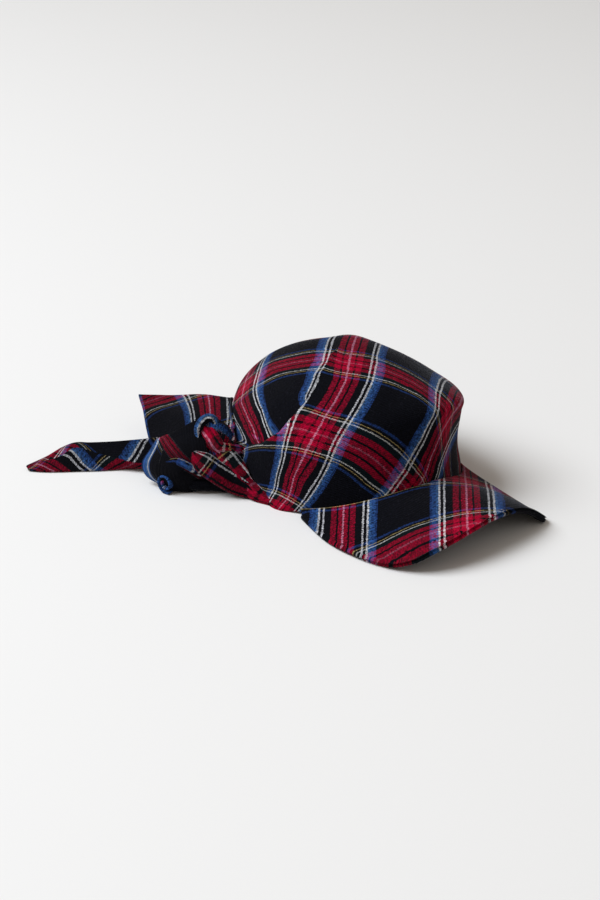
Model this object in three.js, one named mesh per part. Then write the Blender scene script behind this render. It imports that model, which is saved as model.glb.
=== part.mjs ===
import * as THREE from "three";

// A soft plaid cloth cap with an arched visor, tied in a knot at one side, lying on a table.
// All sizes are millimetres. The visor points along -Y, the knot is on the -X side, +Z is up.
// Inside the file a place is given as forward (-Y), side (-X) and height (+Z).

const crownLength = 202;
const crownWidth = 164;
const crownHeight = 109;
const clothThickness = 2;
const hemThickness = 2.8;
const hemDepth = 10;
const foldHeight = 4;
const foldEdgeAngle = 2;
const foldSpread = 22;
const neckReach = 17;
const neckSpread = 19;
const neckHeight = 34;

const visorReach = 74;
const visorWidth = 158;
const visorArch = 24.5;
const visorCrownBulge = 1;
const visorFarSag = 0.3;
const visorUpperThickness = 2.6;
const visorFacingThickness = 1.3;
const visorFacingInset = 3;
const visorRootAngle = 65;

const knotWidth = 36;
const knotHeight = 42;
const knotDepth = 30;
const knotCentreHeight = 31;
const knotAngle = 113;
const knotGroove = 0.03;
const knotSeat = 4;

const shortTailLength = 36;
const shortTailWidth = 49;
const shortTailRise = 21;
const shortTailTongue = 15;
const longTailLength = 134;
const longTailWidth = 22;
const longTailRise = 13;
const wideTailLength = 80;
const wideTailWidth = 54;
const wideTailRise = 36;
const tailThickness = 2;

const pieceGap = 0.35;
const facetAllowance = 0.15;
const lowestCloth = 1.3;

const crownColumns = 72;
const crownRows = 22;

// Columns: rise as a share of the crown height, then the outline's share of its rim size
// at eight directions, from the front round by the knot side.
const crownProfile = [
  { rise: 0.0, outline: [1.0, 1.0, 1.0, 1.0, 1.0, 1.0, 1.0, 1.01] },
  { rise: 0.1, outline: [0.99, 0.99, 1.01, 1.01, 1.01, 1.01, 1.0, 1.0] },
  { rise: 0.25, outline: [0.97, 0.98, 1.01, 1.02, 1.02, 1.02, 0.99, 0.97] },
  { rise: 0.42, outline: [0.95, 0.97, 0.99, 1.0, 1.0, 0.99, 0.97, 0.97] },
  { rise: 0.55, outline: [0.93, 0.95, 0.95, 0.95, 0.94, 0.92, 0.92, 0.98] },
  { rise: 0.66, outline: [0.9, 0.9, 0.88, 0.87, 0.84, 0.82, 0.84, 0.99] },
  { rise: 0.75, outline: [0.8, 0.8, 0.78, 0.77, 0.72, 0.7, 0.72, 0.84] },
  { rise: 0.83, outline: [0.65, 0.66, 0.65, 0.65, 0.58, 0.57, 0.59, 0.68] },
  { rise: 0.9, outline: [0.47, 0.5, 0.5, 0.5, 0.43, 0.42, 0.44, 0.5] },
  { rise: 0.96, outline: [0.29, 0.31, 0.32, 0.32, 0.27, 0.26, 0.28, 0.3] },
  { rise: 0.99, outline: [0.13, 0.14, 0.15, 0.15, 0.13, 0.12, 0.13, 0.14] },
  { rise: 1.0, outline: [0, 0, 0, 0, 0, 0, 0, 0] },
];

// Columns: level from rim to top, angle of the fold's edge at that level.
const foldPath = [
  { level: 0.0, angle: 110 },
  { level: 0.16, angle: 110 },
  { level: 0.23, angle: 103 },
  { level: 0.28, angle: 92 },
  { level: 0.37, angle: 82 },
  { level: 0.47, angle: 75 },
  { level: 0.55, angle: 71 },
  { level: 0.68, angle: 69 },
  { level: 1.0, angle: 69 },
];
const foldColumn = 110;
const foldFadeLow = 0.2;
const foldFullLow = 0.36;
const foldFadeTop = 0.95;

// The visor's outer edge from the knot side to the far side. Columns: forward as a share of
// the visor's front, side as a share of half its width, rise as a share of its arch.
const visorEdge = [
  { forward: 0.263, side: 0.96, rise: 0.0 },
  { forward: 0.52, side: 1.08, rise: 0.0 },
  { forward: 0.714, side: 1.05, rise: 0.0 },
  { forward: 0.857, side: 0.96, rise: 0.06 },
  { forward: 0.949, side: 0.84, rise: 0.33 },
  { forward: 0.989, side: 0.66, rise: 0.61 },
  { forward: 1.0, side: 0.43, rise: 0.8 },
  { forward: 0.994, side: 0.2, rise: 0.91 },
  { forward: 0.98, side: -0.03, rise: 0.95 },
  { forward: 0.966, side: -0.25, rise: 0.9 },
  { forward: 0.954, side: -0.456, rise: 0.735 },
  { forward: 0.946, side: -0.62, rise: 0.449 },
  { forward: 0.934, side: -0.785, rise: 0.04 },
  { forward: 0.874, side: -0.797, rise: 0.0 },
  { forward: 0.726, side: -0.81, rise: 0.0 },
  { forward: 0.531, side: -0.8, rise: 0.0 },
  { forward: 0.343, side: -0.873, rise: 0.0 },
];

// Columns: along the tail as a share of its length, heading and cross direction in degrees
// from the front round by the knot side, rise and width as shares of the tail's own sizes,
// tilt of the cross line in degrees, bow of the cross line as a share of its width.
const shortTail = [
  { along: 0.0, heading: 150, cross: -22, rise: 1.0, width: 0.96, tilt: 56, bow: 0.2 },
  { along: 0.35, heading: 150, cross: -4, rise: 0.9, width: 1.0, tilt: 48, bow: 0.2 },
  { along: 0.7, heading: 150, cross: 10, rise: 0.72, width: 1.0, tilt: 38, bow: 0.18 },
  { along: 1.0, heading: 150, cross: 20, rise: 0.62, width: 0.98, tilt: 28, bow: 0.14 },
];
const longTail = [
  { along: 0.0, heading: 150, cross: 48, rise: 0.95, width: 0.8, tilt: 38, bow: 0.1 },
  { along: 0.26, heading: 136, cross: 34, rise: 0.7, width: 1.0, tilt: 44, bow: 0.12 },
  { along: 0.55, heading: 120, cross: 34, rise: 0.58, width: 1.0, tilt: 38, bow: 0.1 },
  { along: 0.8, heading: 118, cross: 36, rise: 0.44, width: 0.86, tilt: 30, bow: 0.08 },
  { along: 1.0, heading: 122, cross: 36, rise: 0.14, width: 0.18, tilt: 12, bow: 0.0 },
];
const wideTail = [
  { along: 0.0, heading: 167, cross: 59, rise: 1.0, width: 0.98, tilt: 20, bow: 0.08 },
  { along: 0.35, heading: 168, cross: 50, rise: 0.86, width: 0.96, tilt: 22, bow: 0.1 },
  { along: 0.7, heading: 167, cross: 34, rise: 0.6, width: 1.0, tilt: 20, bow: 0.1 },
  { along: 1.0, heading: 166, cross: 24, rise: 0.4, width: 1.0, tilt: 19, bow: 0.06 },
];
// Where each tail leaves the knot: outward as a share of the knot's depth and along the
// crown as a share of its width.
const shortTailStart = { out: 0.58, along: -0.05 };
const longTailStart = { out: 0.26, along: 0.18 };
const wideTailStart = { out: -0.3, along: 0.87 };

const radians = THREE.MathUtils.degToRad;
const clamp = THREE.MathUtils.clamp;
const smoothstep = THREE.MathUtils.smoothstep;

function place(forward, side, height) {
  return new THREE.Vector3(-side, -forward, height);
}

function spline(a, b, c, d, share) {
  const square = share * share;
  const cube = square * share;
  return 0.5 * (2 * b + (c - a) * share + (2 * a - 5 * b + 4 * c - d) * square
    + (3 * b - a - 3 * c + d) * cube);
}

function alongTable(table, share, read) {
  const last = table.length - 1;
  const at = clamp(share, 0, 1) * last;
  const low = Math.min(Math.floor(at), last - 1);
  const value = (index) => read(table[clamp(index, 0, last)]);
  return spline(value(low - 1), value(low), value(low + 1), value(low + 2), at - low);
}

function aroundRing(values, angle) {
  const count = values.length;
  const at = THREE.MathUtils.euclideanModulo(angle, 360) / (360 / count);
  const low = Math.floor(at);
  const value = (index) => values[(index + count) % count];
  return spline(value(low - 1), value(low), value(low + 1), value(low + 2), at - low);
}

function linearTable(table, key, at, read) {
  for (let index = 1; index < table.length; index += 1) {
    const upper = table[index];
    if (at <= upper[key]) {
      const lower = table[index - 1];
      const share = (at - lower[key]) / (upper[key] - lower[key]);
      return read(lower) + (read(upper) - read(lower)) * share;
    }
  }
  return read(table[table.length - 1]);
}

// The visor's arch seen from the front, lower on the far side. The crown's front rim follows it.
function archHeight(side, height) {
  const share = side / (visorWidth / 2);
  const sag = 1 - visorFarSag * smoothstep(-share, 0, 0.8);
  return Math.max(0, height * (1 - share ** 2) * sag);
}

function rimHeight(angle) {
  if (Math.cos(radians(angle)) <= 0) return 0;
  const side = crownWidth / 2 * Math.sin(radians(angle));
  return archHeight(side, visorArch + visorFacingThickness / 2);
}

// The neck is where the rim is drawn out toward the knot.
function neckShare(angle, height) {
  const turn = (angle - knotAngle) / neckSpread;
  const fade = 1 - smoothstep(height, 0, neckHeight);
  return neckReach / (crownWidth / 2) * Math.exp(-turn * turn) * fade;
}

function crownBase(angle, level) {
  const rise = alongTable(crownProfile, level, (row) => row.rise);
  const height = rimHeight(angle) + (crownHeight - rimHeight(angle)) * rise;
  const share = alongTable(crownProfile, level, (row) => aroundRing(row.outline, angle))
    + neckShare(angle, height);
  const forward = crownLength / 2 * share * Math.cos(radians(angle));
  const side = crownWidth / 2 * share * Math.sin(radians(angle));
  return place(forward, side, height);
}

function crownNormal(angle, level) {
  const step = 0.004;
  const round = crownBase(angle + 1, level).sub(crownBase(angle - 1, level));
  const upward = crownBase(angle, Math.min(level + step, 0.999));
  upward.sub(crownBase(angle, Math.max(level - step, 0)));
  return upward.cross(round).normalize();
}

function foldAmount(level) {
  const low = smoothstep(level, foldFadeLow, foldFullLow);
  const top = 1 - smoothstep(level, foldFadeTop - 0.1, foldFadeTop);
  return foldHeight * low * (0.6 + 0.4 * (1 - smoothstep(level, 0.5, 0.8))) * top;
}

// Columns lean toward the fold's edge so that one of them follows it exactly.
function crownAngle(column, level) {
  const shift = linearTable(foldPath, "level", level, (row) => row.angle) - foldColumn;
  const away = THREE.MathUtils.euclideanModulo(column - foldColumn + 180, 360) - 180;
  const window = Math.abs(away) < 150 ? Math.cos(radians(away * 0.6)) ** 2 : 0;
  return column + shift * window;
}

function columnAngle(index) {
  const angle = index * 360 / crownColumns;
  return index === Math.round(foldColumn * crownColumns / 360) + 1 ? foldColumn + foldEdgeAngle : angle;
}

function foldLift(column, level, outer) {
  const away = THREE.MathUtils.euclideanModulo(column - foldColumn + 180, 360) - 180;
  if (away > 0.01) return 0;
  const full = foldAmount(level) * Math.exp(away / foldSpread);
  return outer ? full : full * (1 - Math.exp(-((away / 8) ** 2)));
}

function crownOuter(column, level) {
  const angle = crownAngle(column, level);
  const point = crownBase(angle, level);
  return point.addScaledVector(crownNormal(angle, level), foldLift(column, level, true));
}

function crownInner(column, level) {
  const angle = crownAngle(column, level);
  const point = crownBase(angle, level);
  const normal = crownNormal(angle, level);
  if (level === 0) {
    normal.z = 0;
    return point.addScaledVector(normal.normalize(), -hemThickness);
  }
  const wall = point.z - rimHeight(angle) < hemDepth ? hemThickness : clothThickness;
  return point.addScaledVector(normal, foldLift(column, level, false) - wall);
}

// Collects the corners and triangles of one closed body.
class Body {
  constructor() {
    this.points = [];
    this.triangles = [];
  }

  add(point) {
    this.points.push(point.x, point.y, point.z);
    return this.points.length / 3 - 1;
  }

  triangle(a, b, c) {
    this.triangles.push(a, b, c);
  }

  quad(a, b, c, d) {
    this.triangle(a, b, c);
    this.triangle(a, c, d);
  }

  grid(columns, rows, read) {
    const ids = [];
    for (let row = 0; row < rows; row += 1) {
      const line = [];
      for (let column = 0; column < columns; column += 1) line.push(this.add(read(column, row)));
      ids.push(line);
    }
    return ids;
  }

  mesh(name, colour, roughness) {
    const geometry = new THREE.BufferGeometry();
    geometry.setAttribute("position", new THREE.Float32BufferAttribute(this.points, 3));
    geometry.setIndex(this.triangles);
    geometry.computeVertexNormals();
    const material = new THREE.MeshStandardMaterial({ color: colour, roughness, metalness: 0 });
    const mesh = new THREE.Mesh(geometry, material);
    mesh.name = name;
    return mesh;
  }
}

function crownBody() {
  const body = new Body();
  const level = (row) => row / crownRows;
  const outer = body.grid(crownColumns, crownRows, (column, row) => (
    crownOuter(columnAngle(column), level(row))));
  const inner = body.grid(crownColumns, crownRows, (column, row) => (
    crownInner(columnAngle(column), level(row))));
  const outerTop = body.add(place(0, 0, crownHeight));
  const innerTop = body.add(place(0, 0, crownHeight - clothThickness));
  for (let column = 0; column < crownColumns; column += 1) {
    const next = (column + 1) % crownColumns;
    for (let row = 0; row + 1 < crownRows; row += 1) {
      body.quad(outer[row][column], outer[row + 1][column], outer[row + 1][next], outer[row][next]);
      body.quad(inner[row][next], inner[row + 1][next], inner[row + 1][column], inner[row][column]);
    }
    const last = crownRows - 1;
    body.triangle(outer[last][column], outerTop, outer[last][next]);
    body.triangle(inner[last][next], innerTop, inner[last][column]);
    body.quad(inner[0][column], outer[0][column], outer[0][next], inner[0][next]);
  }
  return body;
}

// A sheet with thickness: two grids joined round their edges.
function sheetBody(columns, rows, readTop, readBottom) {
  const body = new Body();
  const top = body.grid(columns, rows, readTop);
  const bottom = body.grid(columns, rows, readBottom);
  for (let row = 0; row + 1 < rows; row += 1) {
    for (let column = 0; column + 1 < columns; column += 1) {
      body.quad(top[row][column], top[row][column + 1], top[row + 1][column + 1], top[row + 1][column]);
      body.quad(bottom[row + 1][column], bottom[row + 1][column + 1],
        bottom[row][column + 1], bottom[row][column]);
    }
    const last = columns - 1;
    body.quad(top[row + 1][0], bottom[row + 1][0], bottom[row][0], top[row][0]);
    body.quad(top[row][last], bottom[row][last], bottom[row + 1][last], top[row + 1][last]);
  }
  for (let column = 0; column + 1 < columns; column += 1) {
    const last = rows - 1;
    body.quad(top[0][column], bottom[0][column], bottom[0][column + 1], top[0][column + 1]);
    body.quad(top[last][column + 1], bottom[last][column + 1], bottom[last][column], top[last][column]);
  }
  return body;
}

// A point on the visor's underside: across from the knot side to the far side, out from the
// crown to the outer edge, lifted by a distance square to the arch.
function visorPoint(across, out, lift) {
  const angle = visorRootAngle * (1 - 2 * across);
  const rootShare = aroundRing(crownProfile[0].outline, angle);
  const rootForward = (crownLength / 2 * rootShare + pieceGap) * Math.cos(radians(angle));
  const rootSide = (crownWidth / 2 * rootShare + pieceGap) * Math.sin(radians(angle));
  const root = place(rootForward, rootSide, archHeight(rootSide, visorArch));
  const visorFront = crownLength / 2 + visorReach;
  const edge = place(
    alongTable(visorEdge, across, (row) => row.forward) * visorFront,
    alongTable(visorEdge, across, (row) => row.side) * visorWidth / 2,
    Math.max(0, alongTable(visorEdge, across, (row) => row.rise) * visorArch),
  );
  const point = root.lerp(edge, out);
  const middle = 1 - (2 * across - 1) ** 2;
  point.z += visorCrownBulge * Math.sin(Math.PI * out) * middle;
  const slope = 2 * visorArch * -point.x / (visorWidth / 2) ** 2;
  const normal = new THREE.Vector3(-slope, 0, 1).normalize();
  point.addScaledVector(normal, lift);
  return point;
}

const visorColumns = 53;
const visorRows = 7;

function visorBody(bottomLift, topLift, inset) {
  const share = (column) => column / (visorColumns - 1);
  const out = (row) => row / (visorRows - 1) * (1 - inset / visorReach);
  return sheetBody(visorColumns, visorRows,
    (column, row) => visorPoint(1 - share(column), out(row), topLift),
    (column, row) => visorPoint(1 - share(column), out(row), bottomLift));
}

const knotCentre = place(
  (crownLength / 2 + knotDepth / 2 + knotSeat) * Math.cos(radians(knotAngle)),
  (crownWidth / 2 + knotDepth / 2 + knotSeat) * Math.sin(radians(knotAngle)),
  knotCentreHeight,
);
const knotOut = place(Math.cos(radians(knotAngle)), Math.sin(radians(knotAngle)), 0);
const knotAlong = place(-Math.sin(radians(knotAngle)), Math.cos(radians(knotAngle)), 0);
const knotUp = new THREE.Vector3(0, 0, 1);

// Moves a point out of the crown, up to the crown's outer face and a clearance beyond it.
function clearOfCrown(point, clearance) {
  const forward = -point.y / (crownLength / 2);
  const side = -point.x / (crownWidth / 2);
  const angle = THREE.MathUtils.radToDeg(Math.atan2(side, forward));
  let low = 0;
  let high = 1;
  for (let step = 0; step < 24; step += 1) {
    const level = (low + high) / 2;
    if (crownBase(angle, level).z < point.z) low = level;
    else high = level;
  }
  const wall = crownBase(angle, low);
  const share = Math.hypot(wall.y / (crownLength / 2), wall.x / (crownWidth / 2));
  const wanted = share + clearance / (crownWidth / 2);
  const now = Math.hypot(forward, side);
  if (now < wanted) {
    point.x *= wanted / now;
    point.y *= wanted / now;
  }
  return point;
}

function clearOfKnot(point, clearance) {
  const away = point.clone().sub(knotCentre);
  const out = away.dot(knotOut) / (knotDepth / 2 + clearance);
  const along = away.dot(knotAlong) / (knotWidth / 2 + clearance);
  const up = away.dot(knotUp) / (knotHeight / 2 + clearance);
  const size = Math.hypot(out, along, up);
  if (size < 1) point.copy(knotCentre).addScaledVector(away, 1 / size);
  return point;
}

function knotBody() {
  const body = new Body();
  const columns = 30;
  const rows = 16;
  const point = (turn, slant) => {
    const round = Math.cos(slant);
    const groove = 1 - knotGroove * (0.5 + 0.5 * Math.sin(2 * turn + 3 * slant)) * round;
    const found = knotCentre.clone();
    found.addScaledVector(knotOut, knotDepth / 2 * Math.sin(slant));
    found.addScaledVector(knotAlong, knotWidth / 2 * Math.cos(turn) * round * groove);
    found.addScaledVector(knotUp, knotHeight / 2 * Math.sin(turn) * round * groove);
    return clearOfCrown(found, pieceGap + facetAllowance);
  };
  const slantOf = (row) => Math.PI * ((row + 1) / (rows + 1) - 0.5);
  const ring = body.grid(columns, rows, (column, row) => (
    point(column / columns * 2 * Math.PI, slantOf(row))));
  const inside = body.add(point(0, -Math.PI / 2));
  const outside = body.add(point(0, Math.PI / 2));
  for (let column = 0; column < columns; column += 1) {
    const next = (column + 1) % columns;
    for (let row = 0; row + 1 < rows; row += 1) {
      body.quad(ring[row][column], ring[row + 1][column], ring[row + 1][next], ring[row][next]);
    }
    body.triangle(inside, ring[0][column], ring[0][next]);
    body.triangle(ring[rows - 1][column], outside, ring[rows - 1][next]);
  }
  return body;
}

function tailStations(table, start, length, width, rise) {
  const first = knotCentre.clone();
  first.addScaledVector(knotOut, start.out * knotDepth);
  first.addScaledVector(knotAlong, start.along * knotWidth);
  let forward = -first.y;
  let side = -first.x;
  return table.map((row, index) => {
    if (index > 0) {
      const before = table[index - 1];
      const step = (row.along - before.along) * length;
      const heading = radians((row.heading + before.heading) / 2);
      forward += step * Math.cos(heading);
      side += step * Math.sin(heading);
    }
    return {
      forward,
      side,
      height: row.rise * rise,
      cross: radians(row.cross),
      width: row.width * width,
      tilt: radians(row.tilt),
      bow: row.bow,
      heading: radians(row.heading),
    };
  });
}

// A point on a tail's middle layer; tongue pushes the middle of the free end outward.
function tailPoint(stations, along, over, tongue) {
  const read = (key) => alongTable(stations, along, (station) => station[key]);
  const cross = read("cross");
  const tilt = read("tilt");
  const width = read("width");
  const point = place(read("forward"), read("side"), read("height"));
  const level = place(Math.cos(cross), Math.sin(cross), 0);
  const crossLine = level.clone().multiplyScalar(Math.cos(tilt)).setZ(-Math.sin(tilt));
  const square = level.clone().multiplyScalar(Math.sin(tilt)).setZ(Math.cos(tilt));
  const middle = 1 - (2 * over - 1) ** 2;
  point.addScaledVector(crossLine, (over - 0.5) * width);
  point.addScaledVector(square, read("bow") * width * middle);
  const heading = read("heading");
  point.addScaledVector(place(Math.cos(heading), Math.sin(heading), 0), tongue * middle * along * along);
  point.z = Math.max(point.z, lowestCloth);
  clearOfKnot(point, tailThickness / 2 + pieceGap + facetAllowance);
  return clearOfCrown(point, tailThickness / 2 + pieceGap + facetAllowance);
}

function tailBody(stations, tongue, columns, rows) {
  const along = (column) => column / (columns - 1);
  const over = (row) => row / (rows - 1);
  const middle = (column, row) => tailPoint(stations, along(column), over(row), tongue);
  const square = (column, row) => {
    const length = middle(Math.min(column + 1, columns - 1), row).sub(middle(Math.max(column - 1, 0), row));
    const cross = middle(column, Math.min(row + 1, rows - 1)).sub(middle(column, Math.max(row - 1, 0)));
    return cross.cross(length).normalize();
  };
  const layer = (lift) => (column, row) => {
    const point = middle(column, row).addScaledVector(square(column, row), lift);
    point.z = Math.max(point.z, 0);
    return point;
  };
  return sheetBody(columns, rows, layer(-tailThickness / 2), layer(tailThickness / 2));
}

const group = new THREE.Group();
const upperBottom = visorFacingThickness + pieceGap;
const upperTop = upperBottom + visorUpperThickness;
const shortStations = tailStations(shortTail, shortTailStart, shortTailLength, shortTailWidth, shortTailRise);
const longStations = tailStations(longTail, longTailStart, longTailLength, longTailWidth, longTailRise);
const wideStations = tailStations(wideTail, wideTailStart, wideTailLength, wideTailWidth, wideTailRise);
group.add(crownBody().mesh("crown", 0x47202e, 0.95));
group.add(visorBody(upperBottom, upperTop, 0).mesh("visor_upper", 0x4a2230, 0.95));
group.add(visorBody(0, visorFacingThickness, visorFacingInset).mesh("visor_facing", 0x23232e, 0.95));
group.add(knotBody().mesh("knot", 0x47202e, 0.95));
group.add(tailBody(longStations, 0, 19, 6).mesh("tail_long", 0x2c2636, 0.95));
group.add(tailBody(wideStations, 0, 13, 9).mesh("tail_wide", 0x2c2636, 0.95));
group.add(tailBody(shortStations, shortTailTongue, 11, 11).mesh("tail_short", 0x2c2636, 0.95));

const bounds = new THREE.Box3().setFromObject(group);
const centre = bounds.getCenter(new THREE.Vector3());
for (const mesh of group.children) mesh.geometry.translate(-centre.x, -centre.y, -bounds.min.z);

export default group;
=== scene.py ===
import math

import bmesh
import bpy
import numpy as np
from mathutils import Matrix, Vector


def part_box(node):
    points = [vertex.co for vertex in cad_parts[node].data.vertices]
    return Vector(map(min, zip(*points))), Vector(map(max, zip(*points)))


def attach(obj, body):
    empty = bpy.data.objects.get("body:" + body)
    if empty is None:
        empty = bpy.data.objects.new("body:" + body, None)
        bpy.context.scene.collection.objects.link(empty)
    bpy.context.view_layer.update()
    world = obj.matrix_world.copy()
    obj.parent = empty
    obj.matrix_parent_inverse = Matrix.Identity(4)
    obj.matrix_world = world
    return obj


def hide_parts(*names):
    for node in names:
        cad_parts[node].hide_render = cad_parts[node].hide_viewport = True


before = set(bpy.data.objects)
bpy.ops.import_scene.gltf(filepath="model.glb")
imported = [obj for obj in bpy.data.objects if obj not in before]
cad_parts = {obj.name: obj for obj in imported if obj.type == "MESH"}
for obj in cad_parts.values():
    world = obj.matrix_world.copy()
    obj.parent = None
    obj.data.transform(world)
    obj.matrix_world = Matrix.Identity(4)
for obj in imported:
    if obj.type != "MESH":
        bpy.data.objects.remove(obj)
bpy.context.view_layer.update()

# Sizes are millimetres until a mesh is made. As in the frame, the visor points along -Y and
# the knot is on the -X side. A place is given as forward (-Y), side (-X) and height (+Z).
CROWN_LENGTH = 202
CROWN_WIDTH = 164
CROWN_HEIGHT = 109
NECK_REACH = 17
NECK_SPREAD = 19
NECK_HEIGHT = 34
KNOT_ANGLE = 113
KNOT_WIDTH = 36
KNOT_HEIGHT = 42
KNOT_DEPTH = 30
KNOT_CENTRE_HEIGHT = 31
KNOT_SEAT = 4
VISOR_REACH = 74
VISOR_WIDTH = 158
VISOR_ARCH = 24.5
VISOR_BULGE = 1
VISOR_FAR_SAG = 0.3
VISOR_ROOT_ANGLE = 65
FACING_THICKNESS = 1.3
GAP = 0.35
TAIL_THICKNESS = 2
VISOR_THICKNESS = 2.6
# The least height over the floor of a mesh's lowest corners.
FLOOR_GAP = 0.02
LYING_GAP = 1.3
# The plaid's repeats in mm. Near the head the weft is drawn closer by the gathers.
WARP_REPEAT = 98
WEFT_REPEAT = 80
CROWN_WEFT_REPEAT = 64

# Rise as a share of the crown height, then the outline's share of its rim size at eight
# directions, from the front round by the knot side.
CROWN_PROFILE = np.array([
    (0, 1, 1, 1, 1, 1, 1, 1, 1.01),
    (0.1, 0.99, 0.99, 1.01, 1.01, 1.01, 1.01, 1, 1),
    (0.25, 0.97, 0.98, 1.01, 1.02, 1.02, 1.02, 0.99, 0.97),
    (0.42, 0.95, 0.97, 0.99, 1, 1, 0.99, 0.97, 0.97),
    (0.55, 0.93, 0.95, 0.95, 0.95, 0.94, 0.92, 0.92, 0.98),
    (0.66, 0.9, 0.9, 0.88, 0.87, 0.84, 0.82, 0.84, 0.99),
    (0.75, 0.8, 0.8, 0.78, 0.77, 0.72, 0.7, 0.72, 0.84),
    (0.83, 0.65, 0.66, 0.65, 0.65, 0.58, 0.57, 0.59, 0.68),
    (0.9, 0.47, 0.5, 0.5, 0.5, 0.43, 0.42, 0.44, 0.5),
    (0.96, 0.29, 0.31, 0.32, 0.32, 0.27, 0.26, 0.28, 0.3),
    (0.99, 0.13, 0.14, 0.15, 0.15, 0.13, 0.12, 0.13, 0.14),
    (1, 0, 0, 0, 0, 0, 0, 0, 0),
])
# Level from rim to top, angle of the fold's edge there.
FOLD_LEVELS = (0.0, 0.16, 0.23, 0.28, 0.37, 0.47, 0.55, 0.68, 1.0)
CAD_FOLD_ANGLES = (110, 110, 103, 92, 82, 75, 71, 69, 69)
FOLD_ANGLES = (110, 109, 99, 86, 76, 70, 68, 68, 69)
FOLD_COLUMN = 110
# Forward, side and rise of the visor's outer edge, from the knot side to the far side.
VISOR_EDGE = np.array([
    (46, 76, 0), (91, 85, 0), (125, 83, 0), (150, 76, 1.5), (166, 66, 8), (173, 52, 15),
    (175, 34, 19.5), (174, 16, 22.3), (171.5, -2, 23.3), (169, -20, 22), (167, -36, 18),
    (165.5, -49, 11), (163.5, -62, 1), (153, -63, 0), (127, -64, 0), (93, -63.2, 0), (60, -69, 0),
])
# Along (share of length), heading, cross direction, rise, width, tilt and bow.
WIDE_TAIL = np.array([
    (-0.34, 167, 70, 1.20, 0.98, 20, 0.08), (0.00, 167, 59, 1.00, 0.98, 20, 0.08),
    (0.35, 168, 50, 0.86, 0.96, 22, 0.10), (0.70, 167, 34, 0.60, 1.00, 20, 0.10),
    (1.00, 166, 24, 0.40, 1.00, 19, 0.06),
])

# The camera, in degrees, mm and pixels of the 600 x 900 image. The hat's own origin, on the
# floor under the crown's top, is seen this far right of and below the image's middle.
AZIMUTH = math.radians(-37)
ELEVATION = math.radians(25)
DISTANCE = 1681
FOCAL_PIXELS = 2125
ORIGIN_RIGHT = 45 / FOCAL_PIXELS
ORIGIN_BELOW = 20 / FOCAL_PIXELS
BACK = np.array([math.sin(AZIMUTH) * math.cos(ELEVATION),
                 -math.cos(AZIMUTH) * math.cos(ELEVATION), math.sin(ELEVATION)])
RIGHT = np.array([math.cos(AZIMUTH), math.sin(AZIMUTH), 0])
UP = np.cross(BACK, RIGHT)
EYE = (BACK - RIGHT * ORIGIN_RIGHT + UP * ORIGIN_BELOW) * DISTANCE


def seen(x, y, height):
    """The place at that height above the floor that shows at pixel x, y."""
    ray = RIGHT * (x - 300) / FOCAL_PIXELS - UP * (y - 450) / FOCAL_PIXELS - BACK
    return EYE + ray * (height - EYE[2]) / ray[2]


def place(forward, side, height):
    forward, side, height = np.broadcast_arrays(forward, side, height)
    return np.stack([-side, -forward, height], -1).astype(float)


def smoothstep(value, low, high):
    """0 up to low and 1 from high, with a soft rise between."""
    share = np.clip((value - low) / (high - low), 0, 1)
    return share * share * (3 - 2 * share)


def band(value, low, full, still_full, high):
    """1 from full to still_full, with soft slopes down to 0 at low and high."""
    return smoothstep(value, low, full) * (1 - smoothstep(value, still_full, high))


def hump(value, middle, width):
    return np.exp(-((value - middle) / width) ** 2)


def spline(value, low, share):
    """A smooth curve through values at whole steps, read a share past the one at low."""
    a, b, c, d = (value(low + step) for step in (-1, 0, 1, 2))
    return 0.5 * (2 * b + (c - a) * share + (2 * a - 5 * b + 4 * c - d) * share ** 2
                  + (3 * b - a - 3 * c + d) * share ** 3)


def curve(points, share):
    """A smooth line through the given values or places, read at shares of its length."""
    last = len(points) - 1
    at = np.clip(share, 0, 1) * last
    low = np.minimum(np.floor(at).astype(int), last - 1)
    value = lambda index: points[np.clip(index, 0, last)]
    between = (at - low).reshape(at.shape + (1,) * (points.ndim - 1))
    return spline(value, low, between)


def shares(rows, columns):
    """How far down and how far across each corner of a grid is, from 0 to 1."""
    return np.meshgrid(np.linspace(0, 1, rows), np.linspace(0, 1, columns), indexing="ij")


def net(table, rows, columns):
    """A smooth grid of places through a small table of rows of (x, y, height)."""
    points = np.array([[seen(*spot) for spot in row] for row in table])
    points = curve(points, np.linspace(0, 1, rows))
    return curve(points.swapaxes(0, 1), np.linspace(0, 1, columns)).swapaxes(0, 1)


def around(row, angle):
    """The outline's share of its rim size at an angle in degrees."""
    at = np.mod(angle, 360) / 45
    low = np.floor(at).astype(int)
    value = lambda index: CROWN_PROFILE[row, 1 + np.mod(index, 8)]
    return spline(value, low, at - low)


def arch(side, height):
    """The visor's arch seen from the front, lower on the far side."""
    share = side / (VISOR_WIDTH / 2)
    sag = 1 - VISOR_FAR_SAG * smoothstep(-share, 0, 0.8)
    return np.maximum(0, height * (1 - share ** 2) * sag)


def rim_height(angle):
    """The crown's lower edge: on the visor in front and on the floor behind."""
    side = CROWN_WIDTH / 2 * np.sin(np.radians(angle))
    rim = arch(side, VISOR_ARCH + FACING_THICKNESS / 2)
    return np.where(np.cos(np.radians(angle)) <= 0, 0, rim)


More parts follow.
